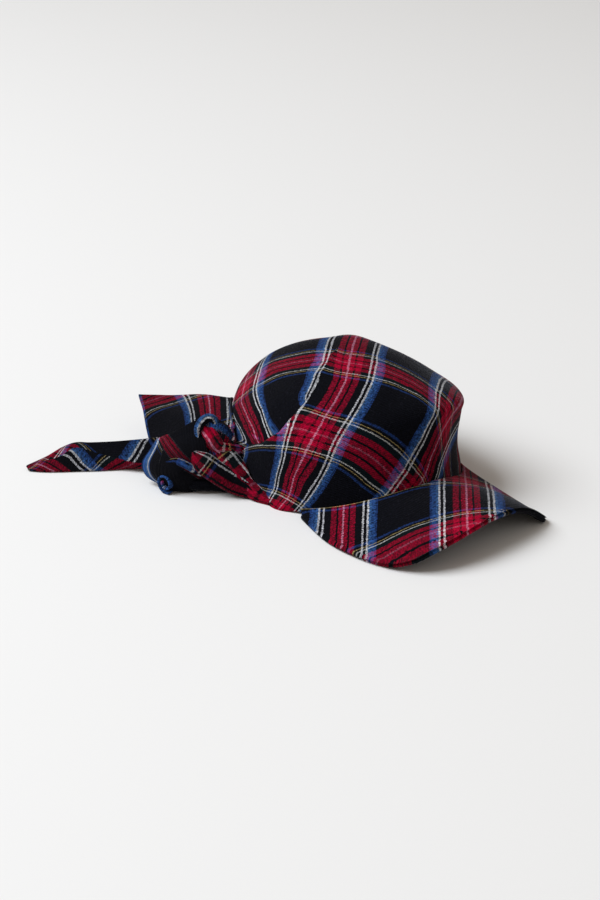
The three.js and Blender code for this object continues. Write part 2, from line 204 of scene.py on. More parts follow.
def crown_base(angle, level):
    """The crown's smooth outer face, with the neck that runs out to the knot."""
    angle, level = np.broadcast_arrays(np.asarray(angle, float), np.asarray(level, float))
    rows = len(CROWN_PROFILE)
    at = np.clip(level, 0, 1) * (rows - 1)
    low = np.minimum(np.floor(at).astype(int), rows - 2)
    shares = np.stack([around(row, angle) for row in range(rows)])
    pick = lambda index: np.take_along_axis(shares, np.clip(index, 0, rows - 1)[None], 0)[0]
    share = spline(pick, low, at - low)
    rim = rim_height(angle)
    height = rim + (CROWN_HEIGHT - rim) * curve(CROWN_PROFILE[:, 0], level)
    fade = 1 - smoothstep(height, 0, NECK_HEIGHT)
    neck = hump(angle, KNOT_ANGLE, NECK_SPREAD)
    share = share + NECK_REACH / (CROWN_WIDTH / 2) * neck * fade
    return place(CROWN_LENGTH / 2 * share * np.cos(np.radians(angle)),
                 CROWN_WIDTH / 2 * share * np.sin(np.radians(angle)), height)


def unit(vectors):
    return vectors / np.maximum(np.linalg.norm(vectors, axis=-1, keepdims=True), 1e-12)


def crown_normal(angle, level):
    around_it = crown_base(angle + 1, level) - crown_base(angle - 1, level)
    upward = crown_base(angle, np.minimum(level + 0.004, 0.999))
    upward = upward - crown_base(angle, np.maximum(level - 0.004, 0))
    return unit(np.cross(upward, around_it))


def crown_angle(column, level, fold_angles=FOLD_ANGLES):
    """The angle of a column of the crown's grid, which leans with the fold's edge."""
    shift = np.interp(level, FOLD_LEVELS, fold_angles) - FOLD_COLUMN
    away = np.mod(column - FOLD_COLUMN + 180, 360) - 180
    window = np.where(np.abs(away) < 150, np.cos(np.radians(away * 0.6)) ** 2, 0)
    return column + shift * window


def cad_crown_middle():
    """The middle of the CAD crown's box before the frame moved it, to find that move."""
    columns = np.arange(72) * 5.0
    columns[23] = FOLD_COLUMN + 2
    level = np.arange(22)[:, None] / 22
    column = np.broadcast_to(columns, (22, 72))
    away = np.mod(column - FOLD_COLUMN + 180, 360) - 180
    amount = 4 * smoothstep(level, 0.2, 0.36) * (1 - 0.4 * smoothstep(level, 0.5, 0.8))
    amount = amount * (1 - smoothstep(level, 0.85, 0.95))
    lift = np.where(away > 0.01, 0, amount * np.exp(np.minimum(away, 0) / 22))
    angle = crown_angle(column, level, CAD_FOLD_ANGLES)
    points = crown_base(angle, level) + crown_normal(angle, level) * lift[..., None]
    return (points.min((0, 1)) + points.max((0, 1))) / 2


low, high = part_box("crown")
shift = (np.array(low) + np.array(high)) / 2 * 1000 - cad_crown_middle()
shift[2] = 0


class Shell:
    """Collects grids of corners and the faces between them into one closed mesh."""

    def __init__(self):
        self.points = []
        self.faces = []
        self.spots = []
        self.painted_shade = []
        self.count = 0

    def add(self, points, painted_dim=0):
        """Corners, with how much shade is painted into the cloth there: 0 is none and 1 is black.
        """
        points = np.asarray(points, float)
        ids = np.arange(self.count, self.count + points[..., 0].size).reshape(points.shape[:-1])
        self.points.append(points.reshape(-1, 3))
        self.painted_shade.append(np.broadcast_to(painted_dim, ids.shape).ravel())
        self.count += ids.size
        return ids

    def add_round(self, points, painted_dim=0):
        """A grid whose last column is its first one again."""
        ids = self.add(points[:, :-1], painted_dim)
        return np.concatenate([ids, ids[:, :1]], 1)

    def quads(self, ids, spots, flip=False):
        """Four-sided faces over a grid. Spots are their places on the plaid, in repeats."""
        corners = [(0, 0), (0, 1), (1, 1), (1, 0)]
        if flip:
            corners = corners[::-1]
        rows, columns = ids.shape
        cut = lambda grid, r, c: grid[r:rows - 1 + r, c:columns - 1 + c]
        self.faces += np.stack([cut(ids, r, c) for r, c in corners], -1).reshape(-1, 4).tolist()
        spots = np.stack([cut(spots, r, c) for r, c in corners], -2)
        self.spots.append(spots.reshape(-1, 2))

    def fan(self, centre, centre_spots, ring, ring_spots, flip=False):
        for index in range(len(ring) - 1):
            face = [int(ring[index]), int(ring[index + 1]), int(centre)]
            spots = [ring_spots[index], ring_spots[index + 1], centre_spots[index]]
            self.faces.append(face[::-1] if flip else face)
            self.spots.append(np.array(spots[::-1] if flip else spots))

    def piece(self, name, material):
        points = (np.concatenate(self.points) + shift) / 1000
        mesh = bpy.data.meshes.new(name)
        mesh.from_pydata(points.tolist(), [], self.faces)
        layer = mesh.uv_layers.new(name="cloth")
        layer.data.foreach_set("uv", np.concatenate(self.spots).ravel().astype(np.float32))
        # The painted shade at each corner, which the plaid's shader reads to darken the cloth.
        painted_shade = mesh.attributes.new("painted_shade", "FLOAT", "POINT")
        painted_shade.data.foreach_set("value", np.concatenate(self.painted_shade).astype(np.float32))
        solid = bmesh.new()
        solid.from_mesh(mesh)
        if solid.calc_volume(signed=True) < 0:
            mesh.flip_normals()
        solid.free()
        mesh.polygons.foreach_set("use_smooth", [True] * len(mesh.polygons))
        mesh.materials.append(material)
        mesh.update()
        piece = bpy.data.objects.new(name, mesh)
        bpy.context.scene.collection.objects.link(piece)
        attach(piece, "root")
        return piece


def grid_normals(points):
    over = np.gradient(points, axis=0)
    across = np.gradient(points, axis=1)
    return unit(np.cross(over, across))


def arc_lengths(points, axis):
    """How far along the grid each corner is, from the first one."""
    steps = np.linalg.norm(np.diff(points, axis=axis), axis=-1)
    return np.cumsum(np.insert(steps, 0, 0, axis=axis), axis=axis)


def sheet_shell(middle, thickness, spots, seam=None, below=None, painted_dim=0):
    """A closed sheet round a grid of middle points, with rounded edges. Past the seam row the
    cloth is another part of the plaid, where it is turned over."""
    shell = Shell()
    painted_dim = np.broadcast_to(painted_dim, middle.shape[:2])
    normal = grid_normals(middle)
    half = np.broadcast_to(np.asarray(thickness, float) / 2, middle.shape[:2])[..., None]
    top_points = middle + normal * half
    bottom_points = middle - normal * half
    for layer in (top_points, bottom_points):
        layer[..., 2] = np.maximum(layer[..., 2], FLOOR_GAP)
    top = shell.add(top_points, painted_dim)
    bottom = shell.add(bottom_points, painted_dim)
    rows, columns = middle.shape[:2]
    if seam is None:
        shell.quads(top, spots)
        shell.quads(bottom, spots, flip=True)
    else:
        for cut, part in ((slice(0, seam + 1), spots), (slice(seam, rows), below)):
            shell.quads(top[cut], part[cut])
            shell.quads(bottom[cut], part[cut], flip=True)
        spots = np.concatenate([spots[:seam + 1], below[seam + 1:]])
    # Once round the rim, back to its first corner.
    down, over = np.arange(rows), np.arange(columns)
    r = np.concatenate([0 * over, down[1:], 0 * over[1:] + rows - 1, down[-2::-1]])
    c = np.concatenate([over, 0 * down[1:] + columns - 1, over[-2::-1], 0 * down[1:]])
    inward_r = np.clip(r, 1, rows - 2)
    inward_c = np.clip(c, 1, columns - 2)
    outward = unit(middle[r, c] - middle[inward_r, inward_c])
    side = middle[r, c] + outward * half[r, c] * 0.8
    side[:, 2] = np.maximum(side[:, 2], FLOOR_GAP)
    ids = shell.add(side[:-1], painted_dim[r, c][:-1])
    ids = np.append(ids, ids[0])
    shell.quads(np.stack([bottom[r, c], ids, top[r, c]]), np.stack([spots[r, c]] * 3))
    return shell


# The cloth's pattern in repeats: 0 is the middle of a red band. Each row is the distance from
# there where a stripe starts, its sRGB colour and how far it covers the crossing threads.
WARP_STRIPES = (
    (0.000, (225, 140, 168), 0.64), (0.006, (190, 2, 52), 0.5),
    (0.041, (8, 8, 14), 0.54), (0.058, (178, 2, 50), 0.48),
    (0.103, (8, 10, 16), 0.54), (0.161, (232, 234, 238), 0.66),
    (0.176, (8, 8, 14), 0.54), (0.200, (232, 234, 238), 0.66),
    (0.215, (78, 126, 188), 0.54), (0.236, (54, 98, 168), 0.53),
    (0.270, (40, 74, 138), 0.53), (0.288, (9, 10, 18), 0.55),
)
WEFT_STRIPES = (
    (0.000, (215, 100, 128), 0.45), (0.006, (190, 2, 52), 0.5),
    (0.050, (8, 8, 14), 0.54), (0.070, (188, 2, 50), 0.5),
    (0.122, (12, 30, 34), 0.54), (0.175, (222, 224, 220), 0.58),
    (0.186, (9, 11, 15), 0.54), (0.204, (204, 180, 116), 0.54),
    (0.213, (8, 10, 16), 0.54), (0.236, (40, 72, 138), 0.5),
    (0.258, (9, 10, 18), 0.55),
)


def linear(colour):
    """An sRGB colour of 0 to 255 as the linear one that shaders take."""
    share = [value / 255 for value in colour]
    return [v / 12.92 if v <= 0.04045 else ((v + 0.055) / 1.055) ** 2.4 for v in share]


def set_inputs(node, values):
    for name, value in values.items():
        node.inputs[name].default_value = value


class Nodes:
    """Short names for the shader nodes of one material."""

    def __init__(self, name):
        self.material = bpy.data.materials.new(name)
        self.material.use_nodes = True
        self.tree = self.material.node_tree
        self.shader = self.tree.nodes["Principled BSDF"]

    def link(self, source, target):
        self.tree.links.new(source, target)

    def new(self, kind, **settings):
        node = self.tree.nodes.new("ShaderNode" + kind)
        for key, value in settings.items():
            setattr(node, key, value)
        return node

    def feed(self, socket, value):
        """Links a socket to another one, or sets it to a number or a colour."""
        if isinstance(value, bpy.types.NodeSocket):
            self.link(value, socket)
        else:
            socket.default_value = (*value, 1) if isinstance(value, tuple) else value

    def math(self, operation, first, second=0.0, third=0.0):
        node = self.new("Math", operation=operation)
        for index, value in enumerate((first, second, third)):
            self.feed(node.inputs[index], value)
        return node.outputs[0]

    def times(self, source, factor, offset=0.0):
        return self.math("MULTIPLY_ADD", source, factor, offset)

    def total(self, first, *others):
        for other in others:
            first = self.math("ADD", first, other)
        return first

    def noise(self, vector, scale, detail=3.0, roughness=0.6):
        node = self.new("TexNoise")
        set_inputs(node, {"Scale": scale, "Detail": detail, "Roughness": roughness})
        self.link(vector, node.inputs["Vector"])
        return node.outputs["Fac"]

    def ramp(self, factor, stops, interpolation="CONSTANT"):
        node = self.new("ValToRGB")
        ramp = node.color_ramp
        ramp.interpolation = interpolation
        while len(ramp.elements) < len(stops):
            ramp.elements.new(0.5)
        for element, (position, colour, alpha) in zip(ramp.elements, stops):
            element.position = position
        for element, (position, colour, alpha) in zip(ramp.elements, stops):
            element.color = (*linear(colour), alpha)
        self.link(factor, node.inputs["Fac"])
        return node.outputs["Color"], node.outputs["Alpha"]

    def mix(self, factor, first, second, blend="MIX"):
        node = self.new("Mix", data_type="RGBA", blend_type=blend)
        for index, value in ((0, factor), (6, first), (7, second)):
            self.feed(node.inputs[index], value)
        return node.outputs[2]

    def bump(self, height, strength, distance):
        node = self.new("Bump")
        set_inputs(node, {"Strength": strength, "Distance": distance})
        self.link(height, node.inputs["Height"])
        self.link(node.outputs["Normal"], self.shader.inputs["Normal"])

    def cloth_shader(self, sheen):
        """Matt cloth whose nap catches a little light at its edges."""
        set_inputs(self.shader, {
            "Roughness": 0.92, "Specular IOR Level": 0.06, "Sheen Weight": sheen,
            "Sheen Roughness": 0.3, "Sheen Tint": (0.85, 0.88, 1.0, 1)})


# How many threads of the twill there are to a repeat of the warp and of the weft.
TWILL = (50, 38)
# Threads show as dashes: short along one set of stripes and long along the other.
DASHES = ((34, 74), (96, 30))
# The colour that painted shade darkens the cloth toward.
PAINTED_SHADE_BLACK = (0.002, 0.002, 0.003)


def flannel(name):
    """Brushed two-way plaid: warp stripes by u, weft stripes by v, woven in a fine twill."""
    nodes = Nodes(name)
    spot = nodes.new("UVMap", uv_map="cloth").outputs["UV"]
    place_in = nodes.new("TexCoord").outputs["Object"]
    split = nodes.new("SeparateXYZ")
    nodes.link(spot, split.inputs[0])
    u, v = split.outputs[0], split.outputs[1]
    stretched = []
    for across_it, along_it in DASHES:
        mapping = nodes.new("Mapping")
        mapping.inputs["Scale"].default_value = (across_it, along_it, 1)
        nodes.link(spot, mapping.inputs["Vector"])
        stretched.append(nodes.noise(mapping.outputs[0], 1.0, 2, 0.55))
    fuzz = nodes.noise(place_in, 620, 2)
    waver = nodes.noise(place_in, 150, 2)
    wide = nodes.noise(place_in, 34, 3)
    # The stripes' edges shake a little. Each stripe is mirrored about the red band's middle.
    shake = nodes.total(nodes.times(fuzz, 0.016, -0.008), nodes.times(waver, 0.010, -0.005))
    warp, warp_cover = nodes.ramp(nodes.math("PINGPONG", nodes.total(u, shake), 0.5), WARP_STRIPES)
    weft, weft_cover = nodes.ramp(nodes.math("PINGPONG", nodes.total(v, shake), 0.5), WEFT_STRIPES)
    threads = [nodes.times(at, count * math.tau) for at, count in zip((u, v), TWILL)]
    twill = nodes.math("SINE", nodes.total(*threads))
    # Which of the two threads lies on top.
    cover = nodes.total(
        nodes.times(nodes.math("SUBTRACT", warp_cover, weft_cover), 0.9, 0.5),
        nodes.times(twill, 0.07),
        nodes.times(stretched[0], 1.5, -0.75),
        nodes.times(stretched[1], -1.2, 0.6))
    cover = nodes.math("MINIMUM", nodes.math("MAXIMUM", cover, 0.05), 0.95)
    colour = nodes.mix(cover, weft, warp)
    # The nap, pale lint in it, and wide soft patches.
    grain = nodes.total(nodes.times(stretched[0], 0.5), nodes.times(fuzz, 0.5))
    nap, _ = nodes.ramp(grain, ((0.36, (150, 150, 150), 1), (0.62, (255, 255, 255), 1)), "LINEAR")
    colour = nodes.mix(0.9, colour, nap, "MULTIPLY")
    lint, _ = nodes.ramp(nodes.noise(place_in, 540, 3, 0.75),
                         ((0.60, (0, 0, 0), 1), (0.80, (52, 52, 62), 1)), "LINEAR")
    colour = nodes.mix(0.5, colour, lint, "ADD")
    shade, _ = nodes.ramp(wide, ((0.3, (218, 218, 226), 1), (0.7, (255, 255, 255), 1)), "LINEAR")
    colour = nodes.mix(0.8, colour, shade, "MULTIPLY")
    # Painted shade: the mesh's shade attribute darkens the cloth toward black in folds and on
    # shaded pieces.
    painted_shade = nodes.new("Attribute", attribute_name="painted_shade").outputs["Fac"]
    colour = nodes.mix(painted_shade, colour, PAINTED_SHADE_BLACK)
    nodes.link(colour, nodes.shader.inputs["Base Color"])
    relief = nodes.total(nodes.times(twill, 0.2), nodes.times(stretched[0], 0.7), fuzz,
                         nodes.times(waver, 0.9))
    nodes.bump(relief, 0.6, 0.0008)
    nodes.cloth_shader(0.10)
    return nodes.material


def facing_cloth(name):
    """Dark brushed cloth under the visor, with a fine twill."""
    nodes = Nodes(name)
    place_in = nodes.new("TexCoord").outputs["Object"]
    split = nodes.new("SeparateXYZ")
    nodes.link(place_in, split.inputs[0])
    twill = nodes.math("SINE", nodes.times(nodes.total(*split.outputs[:2]), 5200))
    nap = nodes.noise(place_in, 900, 3, 0.7)
    wide = nodes.noise(place_in, 40, 3)
    tone = nodes.total(nodes.times(nap, 0.6), nodes.times(wide, 0.4), nodes.times(twill, 0.08))
    colour, _ = nodes.ramp(tone, ((0.3, (22, 22, 32), 1), (0.7, (44, 44, 58), 1)), "LINEAR")
    nodes.link(colour, nodes.shader.inputs["Base Color"])
    nodes.bump(nodes.total(nap, nodes.times(twill, 0.3)), 0.4, 0.0005)
    nodes.cloth_shader(0.05)
    return nodes.material


plaid = flannel("plaid_flannel_cloth")
dark = facing_cloth("dark_facing_cloth")


# ---- The crown ----

CROWN_RINGS = 132
CROWN_TURNS = 264
ROLL_STEPS = 7
WALL = 1.6
HEM_WALL = 2.6
HEM_DEPTH = 10
# How far the roll bulges past the fold's edge, as a share of its height.
ROLL_BULGE = 0.85

# Soft dents and ridges: where along the column and level they start and end, height in mm
# (below zero for a dent) and half width in degrees of turn.
CREASES = (
    (20, 0.10, 60, 0.24, -0.9, 7),
    (75, 0.05, 104, 0.16, 1.4, 5),
    (88, 0.02, 112, 0.10, 1.2, 4),
    (130, 0.30, 168, 0.50, -1.2, 9),
    (120, 0.18, 150, 0.30, 1.2, 6),
    (200, 0.20, 240, 0.36, -1.2, 10),
    (262, 0.46, 300, 0.40, -1.6, 9),
    (312, 0.30, 330, 0.52, 1.3, 8),
    (340, 0.10, 372, 0.22, -0.8, 8),
    (5, 0.62, 40, 0.56, -0.9, 9),
)


# Small rises and dents by the top: forward, side, height and radius in mm.
TOP_DENTS = ((-18, -19, 1.5, 13), (-31, -5, -1.2, 16))
# Creases are drawn on a chart of the crown: degrees of turn across and level times this up.
CHART_HEIGHT = 180


def dent_lift(points):
    lift = np.zeros(points.shape[:-1])
    for forward, side, height, radius in TOP_DENTS:
        off = np.hypot(-points[..., 1] - forward, -points[..., 0] - side)
        lift += height * hump(off, 0, radius)
    return lift


def crease_lift(column, level):
    column, level = np.broadcast_arrays(column, level)
    lift = np.zeros(column.shape)
    x = np.mod(column, 360)
    for start, low, end, high, height, width in CREASES:
        for turn in (0, 360):
            line = np.array([end - start, (high - low) * CHART_HEIGHT])
            away = np.stack([x + turn - start, (level - low) * CHART_HEIGHT], -1)
            share = np.clip((away @ line) / (line @ line), 0, 1)
            off = np.linalg.norm(away - share[..., None] * line, axis=-1)
            lift += height * hump(off, 0, width)
    return lift


def hem_flare(angle, level):
    """How far the hem stands out between the knot and the visor."""
    return 5.2 * hump(angle, 78, 8) * (1 - smoothstep(level, 0, 0.10))


def cloth_pull(way, level):
    """How far the gathers pull the plaid along warp and weft, in mm, at a heading in degrees."""
    below = lambda low, high: 1 - smoothstep(level, low, high)
    warp = 8 * hump(way, 102, 15) * below(0.12, 0.30)
    warp = warp - 14 * hump(way, 36, 40) * below(0.05, 0.40)
    warp = warp + 5 * band(way, 52, 64, 85, 100) * band(level, 0.08, 0.20, 0.70, 0.80)
    far_side = smoothstep(-way, 0, 20) * hump(way, -30, 40)
    warp = warp + 5 * far_side * band(level, 0.35, 0.50, 0.68, 0.88)
    weft = 6.4 * band(way, 35, 85, 130, 165) * band(level, 0.50, 0.66, 0.80, 0.95)
    weft = weft + 4.5 * hump(way, 66, 14) * hump(level, 0.5, 0.12)
    weft = weft + 2.9 * hump(way, 20, 14) * below(0.05, 0.16)
    return warp, weft


def down_the_crown(angle, level):
    """How far down the cloth each place is from the top, read from a fine grid."""
    fine, coarse = 240, 180
    across, along = np.linspace(0, 360, coarse + 1), np.linspace(1, 0, fine + 1)
    lines = crown_base(across[None, :], along[:, None])
    lengths = arc_lengths(lines, 0)
    down = np.clip((1 - level) * fine, 0, fine - 0.001)
    turn = np.clip(np.mod(angle, 360) * coarse / 360, 0, coarse - 0.001)
    row, column = down.astype(int), turn.astype(int)
    part_down, part_turn = down - row, turn - column
    upper = lengths[row, column] * (1 - part_turn) + lengths[row, column + 1] * part_turn
    lower = lengths[row + 1, column] * (1 - part_turn) + lengths[row + 1, column + 1] * part_turn
    return upper * (1 - part_down) + lower * part_down


def pattern(angle, level, points, back):
    """The plaid on the crown, in repeats of warp and weft: turned by 45 degrees on the top and
    bent down the sides. Back is 1 just behind the fold, which hides some of the cloth."""
    s = down_the_crown(angle, level)
    heading = np.arctan2(-points[..., 0], -points[..., 1])
    side = np.sqrt(np.sin(heading) ** 2 + 0.07 ** 2)
    warp_turn = np.radians(45 - (0.05 + 0.26 * side) * np.maximum(0, s - 50))
    weft_turn = np.radians(45 - (0.07 + 0.20 * side ** 0.7) * np.maximum(0, s - 20))
    warp = s * np.cos(heading + warp_turn)
    weft = s * np.sin(heading + weft_turn)
    hidden = back * band(level, 0.15, 0.25, 0.35, 0.60)
    warp = warp - 42 * hidden
    weft = weft - 0.52 * np.maximum(0, weft - 48) * hidden
    warp_pull, weft_pull = cloth_pull(np.degrees(heading), level)
    return np.stack([(warp + warp_pull - 6) / WARP_REPEAT,
                     (weft + weft_pull - 31) / CROWN_WEFT_REPEAT], -1)


def crown_piece():
    """The crown's cloth: outer face, lining, hem and the fold's rolled edge, as one mesh."""
    level = (np.arange(CROWN_RINGS) / CROWN_RINGS)[:, None]
    turn = np.linspace(0, 360, CROWN_TURNS + 1)[None, :]
    column = FOLD_COLUMN + turn
    angle = crown_angle(column, level)
    base = crown_base(angle, level)
    normal = crown_normal(angle, level)
    # How far the front panel stands over the back one at its rolled edge, and the soft bend
    # that carries the fold on toward the top.
    height = 0.12 + 4.2 * band(level, 0.17, 0.30, 0.42, 0.60)
    bend = 2.6 * band(level, 0.36, 0.55, 0.84, 1.0)
    before = turn - 360
    front_side = height * np.exp(before / 20) + bend * np.exp(before / 16)
    back_side = bend * np.exp(-turn / 5) - 0.35 * height * hump(turn, 0, 16)
    lift = np.where(turn > 180, front_side, 0) + np.where(turn <= 180, back_side, 0)
    near_edge = np.minimum(1, np.minimum(turn, -before) / 6)
    relief = crease_lift(column, level) * near_edge + dent_lift(base)
    lift = lift + relief * smoothstep(level, 0, 0.03)
    flare = hem_flare(np.mod(angle, 360), level)
    outer = base + normal * (lift + flare)[..., None]
    outer[..., 2] = np.maximum(outer[..., 2], FLOOR_GAP)
    # The roll: from the front panel's edge over and back under it.
    edge_angle = crown_angle(np.float64(FOLD_COLUMN), level[:, 0])
    edge = crown_base(edge_angle, level[:, 0])
    out = crown_normal(edge_angle, level[:, 0])
    tangent = crown_base(edge_angle + 1, level[:, 0]) - crown_base(edge_angle - 1, level[:, 0])
    steps = np.arange(1, ROLL_STEPS + 2) / (ROLL_STEPS + 1)
    half = np.pi * steps[None, :-1]
    top, bottom = lift[:, -1:], lift[:, :1]
    rise = bottom + (top - bottom) * (0.5 + 0.5 * np.cos(half))
    reach = ROLL_BULGE * (top - bottom) * np.sin(half)
    roll = edge[:, None] + out[:, None] * rise[..., None]
    roll = roll + unit(tangent)[:, None] * reach[..., None]
    shell = Shell()
    outer_ids = shell.add(outer)
    roll_ids = shell.add(roll)
    ring = np.concatenate([outer_ids, roll_ids, outer_ids[:, :1]], 1)
    # The plaid. Round the roll it runs on from the front panel's edge.
    back = np.clip(1 - turn / 38, 0, 1)
    spots = pattern(angle, level + 0 * turn, base, back + 0 * level)
    ahead = crown_base(angle[:, -1:] + 2, level)
    unfolded = np.zeros_like(level)
    front = pattern(angle[:, -1:], level, base[:, -1:], unfolded)
    step = pattern(angle[:, -1:] + 2, level, ahead, unfolded) - front
    step = step / np.linalg.norm(ahead - base[:, -1:], axis=-1, keepdims=True)
    walk = (top - bottom) * 1.2 * steps[None, :]
    spots[:, -1:] = front
    ring_spots = np.concatenate([spots, front + step * walk[..., None]], 1)
    shell.quads(ring, ring_spots)
    apex = shell.add(place(0, 0, CROWN_HEIGHT))
    apex_spots = pattern(np.zeros(1), np.ones(1), place(0.01, 0, 0)[None], np.zeros(1))
    apex_spots = np.repeat(apex_spots, ring.shape[1], 0)
    shell.fan(apex, apex_spots, ring[-1], ring_spots[-1])
    # The lining follows the outside a wall further in.
    hem = base[::2, :, 2] - rim_height(angle[::2]) < HEM_DEPTH
    depth = np.where(hem, HEM_WALL, WALL)
    inner_lift = relief[::2] + flare[::2] - depth
    inner = base[::2] + normal[::2] * inner_lift[..., None]
    level_out = normal[:1].copy()
    level_out[..., 2] = 0
    inner[0] = base[0] + unit(level_out)[0] * (flare[0] - HEM_WALL)[..., None]
    inner_ids = shell.add_round(inner)
    inner_spots = spots[::2]
    shell.quads(inner_ids, inner_spots, flip=True)
    inner_apex = shell.add(place(0, 0, CROWN_HEIGHT - WALL))
    shell.fan(inner_apex, apex_spots, inner_ids[-1], inner_spots[-1], flip=True)
    # The rim's turned edge, then the roll's few faces at the rim.
    rim, rim_spots = ring[0, :CROWN_TURNS + 1], ring_spots[0, :CROWN_TURNS + 1]
    shell.quads(np.stack([inner_ids[0], rim]), np.stack([inner_spots[0], rim_spots]))
    closing, closing_spots = ring[0, CROWN_TURNS:], ring_spots[0, CROWN_TURNS:]
    corner_spots = np.repeat(inner_spots[0, -1:], len(closing), 0)
    shell.fan(inner_ids[0, -1], corner_spots, closing, closing_spots, flip=True)
    piece = shell.piece("crown_cloth", plaid)
    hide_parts("crown")
    return piece


# ---- The visor ----


def visor_point(across, out, lift):
    """A place on the visor: across from the knot side, out from the crown, lifted square to it."""
    angle = VISOR_ROOT_ANGLE * (1 - 2 * across)
    share = around(0, angle)
    root_forward = (CROWN_LENGTH / 2 * share + GAP) * np.cos(np.radians(angle))
    root_side = (CROWN_WIDTH / 2 * share + GAP) * np.sin(np.radians(angle))
    root = place(root_forward, root_side, arch(root_side, VISOR_ARCH))
    edge = place(*(curve(column, across) for column in VISOR_EDGE.T))
    edge[..., 2] = np.maximum(0, edge[..., 2])
    point = root + (edge - root) * out[..., None]
    point[..., 2] += VISOR_BULGE * np.sin(np.pi * np.clip(out, 0, 1)) * (1 - (2 * across - 1) ** 2)
    slope = 2 * VISOR_ARCH * -point[..., 0] / (VISOR_WIDTH / 2) ** 2
    normal = unit(np.stack([-slope, np.zeros_like(slope), np.ones_like(slope)], -1))
    return point + normal * lift[..., None]


VISOR_COLUMNS = 230
VISOR_ROWS = 70
# The visor's warp is measured square to a line at 40 degrees, its weft along one at 25. Pairs
# of mm there and repeats of the plaid.
WARP_SLANT = math.radians(40)
WEFT_SLANT = math.radians(25)
VISOR_WARP = ((-250, -2.61), (-175, -1.81), (-111, -1.19), (-93, -1), (-75, -0.81),
              (-19, -0.19), (-2.5, 0), (14, 0.19), (70, 0.81), (107, 1.19))
VISOR_WEFT = ((-49, -1.8), (-14, -1.2), (17, -0.8), (66, -0.2), (81, 0), (96, 0.2),
              (146, 0.8), (161, 1), (188, 1.2), (238, 1.8))
# The weft, in mm, of the thread that follows the near half's seam with the crown.
SEAM_WEFT = 96


def visor_piece():
    """The visor's upper cloth, piped at its edge and turned down over the facing there."""
    out, across = shares(VISOR_ROWS, VISOR_COLUMNS)
    out = 1 - (1 - out) ** 1.35
    low = FACING_THICKNESS + GAP
    high = low + VISOR_THICKNESS
    ends = np.minimum(np.minimum(across, 1 - across) * 90, (1 - out) * 34)
    round_off = 1 - np.sqrt(np.clip(1 - (1 - np.clip(ends, 0, 1)) ** 2, 0, 1))
    lip = smoothstep(out, 0.966, 0.978) * (low + 0.9)
    from_edge = (1 - out) * VISOR_REACH
    stitched = 0.5 * hump(from_edge, 2.2, 1.6) - 0.45 * hump(from_edge, 6.0, 0.9)
    top = visor_point(across, out, high - 1.5 * round_off + stitched)
    bottom = visor_point(across, out, low - lip + (0.8 + lip * 0.7) * round_off)
    middle = (top + bottom) / 2
    thick = np.linalg.norm(top - bottom, axis=-1)
    weft_at = lambda at: -at[..., 1] * math.cos(WEFT_SLANT) - at[..., 0] * math.sin(WEFT_SLANT)
    warp = middle[..., 1] * math.sin(WARP_SLANT) - middle[..., 0] * math.cos(WARP_SLANT)
    seam = visor_point(across, 0 * out, 0 * out)
    near = 1 - smoothstep(across, 0.30, 0.50)
    fade = (1 - out) ** (1.5 * smoothstep(across, 0.02, 0.25))
    weft = weft_at(middle) + near * (SEAM_WEFT - weft_at(seam)) * fade
    spots = [np.interp(warp, *zip(*VISOR_WARP)), np.interp(weft, *zip(*VISOR_WEFT))]
    piece = sheet_shell(middle, thick, np.stack(spots, -1)).piece("visor_cloth", plaid)
    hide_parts("visor_upper")
    return piece


# ---- The knot ----

KNOT_COS = math.cos(math.radians(KNOT_ANGLE))
KNOT_SIN = math.sin(math.radians(KNOT_ANGLE))
KNOT_OUT = place(KNOT_COS, KNOT_SIN, 0)
KNOT_ALONG = place(-KNOT_SIN, KNOT_COS, 0)
KNOT_CENTRE = place((CROWN_LENGTH / 2 + KNOT_DEPTH / 2 + KNOT_SEAT) * KNOT_COS,
                    (CROWN_WIDTH / 2 + KNOT_DEPTH / 2 + KNOT_SEAT) * KNOT_SIN, KNOT_CENTRE_HEIGHT)
KNOT_AXES = np.stack([KNOT_OUT, KNOT_ALONG, np.array([0, 0, 1.0])])
KNOT_HALF = np.array([KNOT_DEPTH, KNOT_WIDTH, KNOT_HEIGHT]) / 2
# Rough radii in mm, across and along a wrap, for its plaid.
KNOT_RADII = (22, 19)
KNOT_COLUMNS = 200
KNOT_ROWS = 110

# The knot's wraps, the upper ones last: the pole that each goes round as out, along and up,
# how far from the pole's equator it runs, its half width and height in mm, its plaid offset.
WRAPS = (
    (0.15, 0.95, 0.20, 0.0, 0.95, 1.5, -0.30, 0.10),
    (0.55, -0.30, 0.80, 0.15, 0.42, 3.2, 0.05, 0.42),
    (0.10, 0.70, -0.70, -0.10, 0.40, 3.8, -0.42, 0.66),
    (-0.35, 0.85, 0.45, 0.25, 0.34, 4.6, 0.30, 0.20),
)


def clear_of_crown(points, clearance, only_out=True):
    """Moves places level to a clearance beyond the crown's outer face. Those that are further
    out are left alone, unless only_out is False."""
    points = points.copy()
    forward = -points[..., 1] / (CROWN_LENGTH / 2)
    side = -points[..., 0] / (CROWN_WIDTH / 2)
    angle = np.degrees(np.arctan2(side, forward))
    low, high = np.zeros_like(angle), np.ones_like(angle)
    for _ in range(16):
        level = (low + high) / 2
        under = crown_base(angle, level)[..., 2] < points[..., 2]
        low, high = np.where(under, level, low), np.where(under, high, level)
    wall = crown_base(angle, low)
    share = np.hypot(wall[..., 1] / (CROWN_LENGTH / 2), wall[..., 0] / (CROWN_WIDTH / 2))
    wanted = share + clearance / (CROWN_WIDTH / 2)
    grow = wanted / np.maximum(np.hypot(forward, side), 1e-6)
    if only_out:
        grow = np.maximum(grow, 1)
    points[..., :2] *= grow[..., None]
    return points


